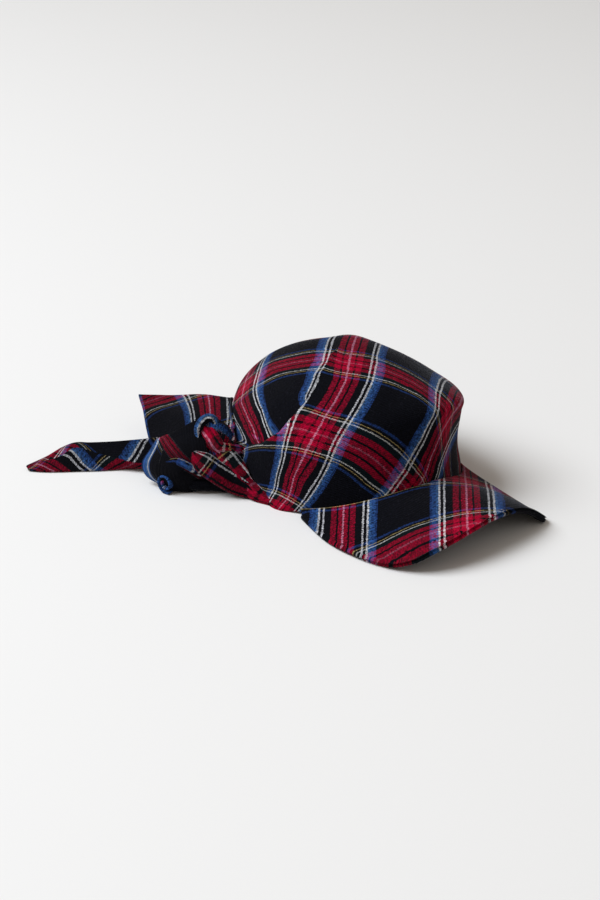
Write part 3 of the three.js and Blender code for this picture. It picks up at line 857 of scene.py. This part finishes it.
def clear_of_knot(points, clearance):
    away = (points - KNOT_CENTRE) @ KNOT_AXES.T
    size = np.linalg.norm(away / (KNOT_HALF + clearance), axis=-1)
    scale = np.where(size < 1, 1 / np.maximum(size, 1e-6), 1)
    return KNOT_CENTRE + (points - KNOT_CENTRE) * scale[..., None]


def knot_core(shell):
    """The middle of the knot: wraps of cloth round one another."""
    turn = np.linspace(0, 2 * np.pi, KNOT_COLUMNS + 1)[None, :]
    slant = (np.pi * ((np.arange(KNOT_ROWS) + 0.5) / KNOT_ROWS - 0.5))[:, None]
    level = np.cos(slant)
    way = np.stack([np.sin(slant) + 0 * turn, np.cos(turn) * level, np.sin(turn) * level], -1)
    height = np.zeros(way.shape[:2])
    spots = np.zeros(way.shape[:2] + (2,))
    for x, y, z, offset, width, rise, warp, weft in WRAPS:
        pole = unit(np.array([x, y, z]))
        first = unit(np.cross(pole, [0.31, 0.11, 0.94]))
        second = np.cross(pole, first)
        across = (way @ pole - offset) / width
        inside = np.abs(across) < 1
        arc = np.arctan2(way @ second, way @ first)
        pleat = 0.35 * np.cos(across * 9 + 0.8 * np.sin(arc * 2))
        pleat = pleat + 0.2 * np.sin(across * 17 + arc)
        crest = rise * np.sqrt(np.clip(1 - across ** 2, 0, 1)) ** 0.7 + pleat * (1 - across ** 2)
        over = inside & (crest > height - 0.4 * rise)
        height = np.where(over, np.maximum(crest, height * 0.6), height)
        found = np.stack([across * width * KNOT_RADII[0] / WARP_REPEAT + warp,
                          arc * KNOT_RADII[1] / WEFT_REPEAT + weft], -1)
        spots = np.where(over[..., None], found, spots)
    local = way * (KNOT_HALF - 3.4) + way * height[..., None]
    ids = shell.add_round(clear_of_crown(KNOT_CENTRE + local @ KNOT_AXES, 0.5))
    spots[:, -1] = spots[:, 0]
    shell.quads(ids, spots)
    for row, sign in ((0, -1), (-1, 1)):
        pole = clear_of_crown((KNOT_CENTRE + KNOT_OUT * sign * (KNOT_HALF[0] - 3))[None], 0.5)
        pole_spots = np.repeat(spots[row, :1], KNOT_COLUMNS + 1, 0)
        shell.fan(shell.add(pole)[0], pole_spots, ids[row], spots[row], flip=sign < 0)


# The knot's strands and the folds that run from it to the crown: under, tuck, fold, lower, over
# and loop. Each has its path, in pixels across and down the image and mm above the floor, its
# width and depth in mm, the angle of the plaid to it, how fast the plaid runs along it, where
# warp and weft start in repeats, how much shade is painted on it, and whether it ends in the
# crown's surface.
STRANDS = (
    (((176, 480, 7), (190, 482, 8), (206, 482, 8), (224, 483, 7), (242, 487, 6), (258, 497, 3),
      (278, 508, 1)), 14, 12, 3, -0.3, 0.40, 0.42, 0.3, True),
    (((165, 462, 25), (176, 461, 28), (186, 465, 26), (197, 471, 20), (210, 476, 15),
      (224, 483, 8)), 6, 5, 90, -0.58, 0.36, 0.236, 0.1, False),
    (((210, 440, 40), (219, 449, 33), (229, 461, 25), (239, 473, 17), (250, 485, 9),
      (262, 497, 4), (284, 510, 1)), 18, 10, 0, -0.5, 0.12, 0.31, 0.25, True),
    (((193, 452, 34), (199, 459, 29), (209, 467, 23), (221, 475, 17), (236, 484, 10),
      (252, 493, 5), (276, 506, 1)), 18, 12, 0, 0.8, 0.125, 0.05, 0.3, True),
    (((200, 427, 46), (205, 428, 46), (212, 437, 42), (218, 446, 36), (225, 451, 31),
      (238, 452, 28)), 11.5, 10, 0, 0.45, 0.04, 0.03, 0.1, True),
    (((198, 444, 36), (198, 433, 43), (201, 424, 50), (207, 419, 53), (213, 420, 52),
      (217, 427, 47), (219, 437, 40)), 7.5, 13, 0, 1.0, 0.22, 0.30, 0.0, False),
)
STRAND_ROWS = 72
STRAND_COLUMNS = 40


def strand(shell, path, width, depth, grain, rate, warp, weft, painted_dim, merge):
    """A rounded fold of cloth along a path. One that merges ends in the crown's surface."""
    share = np.linspace(0, 1, STRAND_ROWS)
    centre = curve(np.array([seen(*spot) for spot in path]), share)
    if merge:
        hug = smoothstep(share, 0.62, 0.96)[:, None]
        centre = centre + (clear_of_crown(centre, -1.6, only_out=False) - centre) * hug
    forward = unit(np.gradient(centre, axis=0))
    facing = unit(BACK + np.array([0, 0, 0.35]))
    normal = unit(facing - forward * (forward @ facing)[:, None])
    over = np.cross(normal, forward)
    theta = np.linspace(0, 2 * np.pi, STRAND_COLUMNS + 1)
    a = np.cos(theta)[None, :] * width / 2
    b = np.sin(theta)[None, :] * depth / 2
    run = arc_lengths(centre, 0)[:, None]
    ripple = 0.55 * np.cos(a * 1.35 + 0.12 * run) + 0.35 * np.sin(a * 2.3 - 0.2 * run + warp * 20)
    b = b + ripple * np.maximum(0, np.sin(theta))[None, :]
    slim = 0.16 + 0.84 * np.sin(np.pi / 2 * np.clip(share / 0.30, 0, 1))
    slim = slim * (0.30 + 0.70 * np.sin(np.pi / 2 * np.clip((1 - share) / 0.40, 0, 1)))
    slim = slim[:, None, None]
    points = centre[:, None] + over[:, None] * a[..., None] * slim
    points = points + normal[:, None] * b[..., None] * slim
    sink = 6 * smoothstep(share, 0.60, 1.0)[:, None] if merge else 0 * run
    points = clear_of_crown(points, 0.25 - sink)
    points[..., 2] = np.maximum(points[..., 2], 0.3)
    run = run * rate
    grain = math.radians(grain)
    flat = np.where(np.sin(theta) >= 0, np.cos(theta), 2 - np.cos(theta))[None, :]
    flat = flat * width / 2 + 0 * run
    spots = np.stack([
        warp + (flat * math.cos(grain) + run * math.sin(grain)) / WARP_REPEAT,
        weft + (run * math.cos(grain) - flat * math.sin(grain)) / WEFT_REPEAT], -1)
    # Painted shade: the flanks, which lie in folds, are darkened more than the top.
    flank_shade = 0.5 * (1 - np.maximum(0, np.sin(theta[:-1]))) ** 2
    ids = shell.add_round(points, 1 - (1 - painted_dim) * (1 - flank_shade[None, :]))
    shell.quads(ids, spots)
    for row, flip in ((0, True), (-1, False)):
        end_spots = np.repeat(spots[row, :1], STRAND_COLUMNS + 1, 0)
        middle = shell.add(points[row, :-1].mean(0))
        shell.fan(middle, end_spots, ids[row], spots[row], flip=flip)


def knot_piece():
    shell = Shell()
    knot_core(shell)
    for values in STRANDS:
        strand(shell, *values)
    piece = shell.piece("knot_wraps", plaid)
    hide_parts("knot")
    return piece


# ---- The tails ----


def tail_middle(table, start, size, rows, columns):
    """A grid through a tail's middle, and each corner's share along and across and its width."""
    length, width, rise = size
    reach, heading, cross, lift, wide, tilt, bow = table.T
    turn = np.radians(np.append(heading[0], (heading[1:] + heading[:-1]) / 2))
    step = np.append(reach[0], np.diff(reach)) * length
    line = place(np.cumsum(step * np.cos(turn)), np.cumsum(step * np.sin(turn)), 0)
    line += KNOT_CENTRE + KNOT_OUT * start[0] * KNOT_DEPTH + KNOT_ALONG * start[1] * KNOT_WIDTH
    line[:, 2] = lift * rise
    over, share = shares(rows, columns)
    wide, bow = curve(wide * width, share), curve(bow, share)
    cross, tilt = curve(np.radians(cross), share), curve(np.radians(tilt), share)[..., None]
    level = place(np.cos(cross), np.sin(cross), 0)
    upward = np.array([0, 0, 1.0])
    cross_line = level * np.cos(tilt) - upward * np.sin(tilt)
    square = level * np.sin(tilt) + upward * np.cos(tilt)
    arched = bow * wide * (1 - (2 * over - 1) ** 2)
    point = curve(line, share) + cross_line * ((over - 0.5) * wide)[..., None]
    return point + square * arched[..., None], share, over, wide


def settle(points):
    """Moves a tail's places off the knot, the crown and the floor."""
    points = clear_of_knot(points, TAIL_THICKNESS / 2 + 0.5)
    points = clear_of_crown(points, TAIL_THICKNESS / 2 + 0.5)
    points[..., 2] = np.maximum(points[..., 2], LYING_GAP)
    return points


def hem_thickness(share, over, length, width):
    """Twice the cloth where the edge is turned in, with a stitched groove beside it."""
    edge = np.minimum(np.minimum(over, 1 - over) * width, (1 - share) * length)
    return 1.5 + 0.9 * (1 - smoothstep(edge, 4.5, 5.5)) - 0.5 * hump(edge, 4.0, 0.6)


def tail_piece(name, node, shell):
    piece = shell.piece(name, plaid)
    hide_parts(node)
    return piece


# Nets of places on the short and the long tail, as pixels across and down the image and mm
# above the floor. Rows go from the upper edge down, columns from the free end to the knot.
SHORT_NET = (
    ((157.5, 440, 29), (166, 436, 36), (178, 431, 41), (190, 424, 46), (201, 419, 49)),
    ((151, 450, 25), (163, 450, 31), (178, 448, 35), (192, 444, 38), (204, 438, 41)),
    ((143, 463, 16), (159, 464, 22), (177, 464, 26), (194, 461, 28), (208, 458, 29)),
    ((147, 475, 8), (160, 476, 13), (178, 477, 16), (197, 475, 16), (213, 473, 16)),
    ((160, 483, 4), (171, 489, 3), (186, 491, 1.6), (203, 490, 1.3), (222, 489, 1.3)),
)
LONG_NET = (
    ((27, 466, 3), (47, 457, 8), (62, 448, 13), (76, 443, 16), (92, 443, 17), (116, 442, 19),
     (140, 440, 21), (162, 438, 23), (182, 440, 27), (204, 444, 30)),
    ((28, 467.5, 2.4), (44, 462, 6), (60, 457, 9), (76, 448, 14), (96, 453, 12), (116, 458, 10),
     (138, 463, 8), (162, 463, 9), (182, 456, 17), (204, 449, 27)),
    ((29, 470, 1.3), (43, 471, 1.3), (59, 471, 1.3), (76, 470.5, 1.3), (96, 470, 1.3),
     (116, 469, 1.3), (138, 468, 1.3), (162, 468, 2.3), (182, 464, 8), (204, 456, 22)),
)
# The wide tail's length beyond the knot, width and rise in mm.
WIDE_SIZE = (80, 54, 36)
SHORT_LENGTH = 46
SHORT_WIDTH = 52
LONG_LENGTH = 180
LONG_WIDTH = 26
# The hem's width in mm, the warp of its blue stripe, and the painted shade on the wide and long
# tails.
HEM_WIDTH = 4.5
BLUE_HEM = 0.75
TAIL_PAINTED_SHADE = 0.25
# The short tail's warp in repeats by mm from its free end: the blue hem and its white line.
SHORT_WARP = ((0, 0.285), (4.5, 0.222), (5.6, 0.204), (6.2, 0.31), (46, 0.66))
# The curl: its middle as a pixel and height, its outer radius, depth and rolled length in mm.
CURL_END = (164.5, 484, 8.5)
CURL_RADIUS = 8.0
CURL_DEPTH = 17
CURL_LENGTH = 50


def curl_shell():
    """The short tail's lower corner, rolled up like a scroll."""
    turn, deep = shares(90, 24)
    angle = np.radians(-60 - 500 * turn)
    radius = CURL_RADIUS * (1 - 0.62 * turn) * (1 - 0.25 * deep)
    away = unit(-BACK * np.array([1, 1, 0]) + RIGHT * 0.75)
    side = unit(np.cross(away, [0, 0, 1.0]))
    centre = seen(*CURL_END) + away * (deep * CURL_DEPTH)[..., None]
    middle = centre + side * (np.cos(angle) * radius)[..., None]
    middle = middle + np.array([0, 0, 1.0]) * (np.sin(angle) * radius)[..., None]
    middle[..., 2] = np.maximum(middle[..., 2], 0.9)
    spots = np.stack([0.245 + deep * CURL_DEPTH / WARP_REPEAT,
                      0.3 + turn * CURL_LENGTH / WEFT_REPEAT], -1)
    return sheet_shell(middle, 1.7, spots)


def wide_tail():
    length, _, _ = WIDE_SIZE
    middle, share, over, wide = tail_middle(WIDE_TAIL, (-0.3, 0.87), WIDE_SIZE, 60, 110)
    # A slow wave, and the upper edge's sag and lifted corner.
    middle[..., 2] += 1.2 * np.sin(over * 9 + share * 4) * share
    middle[..., 2] += (1 - over) ** 2 * (3 * share ** 4 - 1.8 * hump(share, 0.62, 0.2))
    cloth = length * (1 - WIDE_TAIL[0, 0])
    run = share * cloth - 27
    slant = 0.5 - 0.25 * smoothstep(share, 0.6, 1.0)
    warp = (run + slant * over * wide - 18.5) / WARP_REPEAT
    warp = np.where((1 - share) * cloth < HEM_WIDTH, BLUE_HEM, warp)
    spots = np.stack([warp, (over * wide + 25.5 - 0.5 * run) / WEFT_REPEAT], -1)
    thick = hem_thickness(share, over, length, wide)
    return sheet_shell(settle(middle), thick, spots, painted_dim=TAIL_PAINTED_SHADE)


def short_tail():
    rows, columns = 90, 80
    middle = net(SHORT_NET, rows, columns)
    over, share = shares(rows, columns)
    warp = np.interp(share * SHORT_LENGTH, *zip(*SHORT_WARP))
    # A red band runs down the tail, dimmed by painted shade. Its border lines show only by the
    # hem.
    weft = over - 1.17 * share + 0.21
    weft = np.where(weft < -0.14, weft - 0.12, weft)
    weft = np.where((weft > 0.14) & (share > 0.26), weft + 0.12, weft)
    weft = np.clip(weft, -0.45, 0.45)
    thick = hem_thickness(1 - share, over, SHORT_LENGTH, SHORT_WIDTH)
    # Painted shade over the tail: deeper below its upper edge, none by its free end.
    painted_dim = (0.35 + 0.35 * smoothstep(over, 0.1, 0.4)) * smoothstep(share, 0.14, 0.20)
    spots = np.stack([warp, weft], -1)
    return sheet_shell(clear_of_crown(middle, 1.5), thick, spots, painted_dim=painted_dim)


def long_tail():
    rows, columns = 61, 240
    over, share = shares(rows, columns)
    run, cross = share * LONG_LENGTH, over * LONG_WIDTH
    # Each half shows another side of the twisted cloth.
    upper = np.stack([0.70 + ((run - 111) * 0.77 + cross * 0.64) / WARP_REPEAT,
                      0.80 + ((cross - 5) * 0.77 - (run - 64) * 0.64) / WEFT_REPEAT], -1)
    lower = np.stack([0.068 + (run * 0.49 - cross * 0.87) / WARP_REPEAT,
                      -1.05 + (run * 0.63 + cross * 0.78) / WEFT_REPEAT], -1)
    middle = net(LONG_NET, rows, columns)
    return sheet_shell(middle, TAIL_THICKNESS, upper, seam=rows // 2, below=lower, painted_dim=TAIL_PAINTED_SHADE)


def tail_pieces():
    made = {
        "wide": tail_piece("tail_wide_cloth", "tail_wide", wide_tail()),
        "short": tail_piece("tail_short_cloth", "tail_short", short_tail()),
        "curl": curl_shell().piece("tail_short_curl", plaid),
    }
    made["long"] = tail_piece("tail_long_cloth", "tail_long", long_tail())
    return made


crown = crown_piece()
visor = visor_piece()
knot = knot_piece()
tails = tail_pieces()
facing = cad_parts["visor_facing"]
facing.data.materials.clear()
facing.data.materials.append(dark)

# ---- Floor, light and camera ----

FLOOR_REACH = 9.0
floor_mesh = bpy.data.meshes.new("floor")
corners = [(x * FLOOR_REACH, y * FLOOR_REACH, 0) for x, y in ((-1, -1), (1, -1), (1, 1), (-1, 1))]
floor_mesh.from_pydata(corners, [], [(0, 1, 2, 3)])
floor = bpy.data.objects.new("floor", floor_mesh)
bpy.context.scene.collection.objects.link(floor)
floor_nodes = Nodes("pale_floor")
set_inputs(floor_nodes.shader, {
    "Base Color": (0.80, 0.80, 0.80, 1), "Roughness": 0.95, "Specular IOR Level": 0.1})
floor_mesh.materials.append(floor_nodes.material)

world = bpy.data.worlds.new("studio")
world.use_nodes = True
set_inputs(world.node_tree.nodes["Background"], {
    "Color": (1.0, 0.89, 0.77, 1), "Strength": 0.31})
bpy.context.scene.world = world


def softbox(name, location, target, size, power, colour):
    light = bpy.data.lights.new(name, "AREA")
    light.shape = "SQUARE"
    light.size = size
    light.energy = power
    light.color = colour
    lamp = bpy.data.objects.new(name, light)
    bpy.context.scene.collection.objects.link(lamp)
    lamp.location = location
    lamp.rotation_mode = "QUATERNION"
    lamp.rotation_quaternion = (Vector(target) - Vector(location)).to_track_quat("-Z", "Y")


softbox("window_left", (-2.3, 1.5, 3.4), (0, 0.2, 0.05), 2.8, 231, (0.922, 0.96, 1.0))
softbox("fill_front", (0.9, -2.0, 1.4), (0, 0, 0.05), 1.8, 3, (1.0, 1.0, 1.0))

camera_data = bpy.data.cameras.new("camera")
camera_data.lens = 85
camera_data.sensor_width = 36
camera_data.sensor_fit = "AUTO"
camera = bpy.data.objects.new("camera", camera_data)
bpy.context.scene.collection.objects.link(camera)
axes = Matrix((RIGHT, UP, BACK)).transposed()
camera.matrix_world = Matrix.Translation(Vector((EYE + shift) / 1000)) @ axes.to_4x4()
bpy.context.scene.camera = camera
bpy.context.scene.view_settings.view_transform = "Standard"
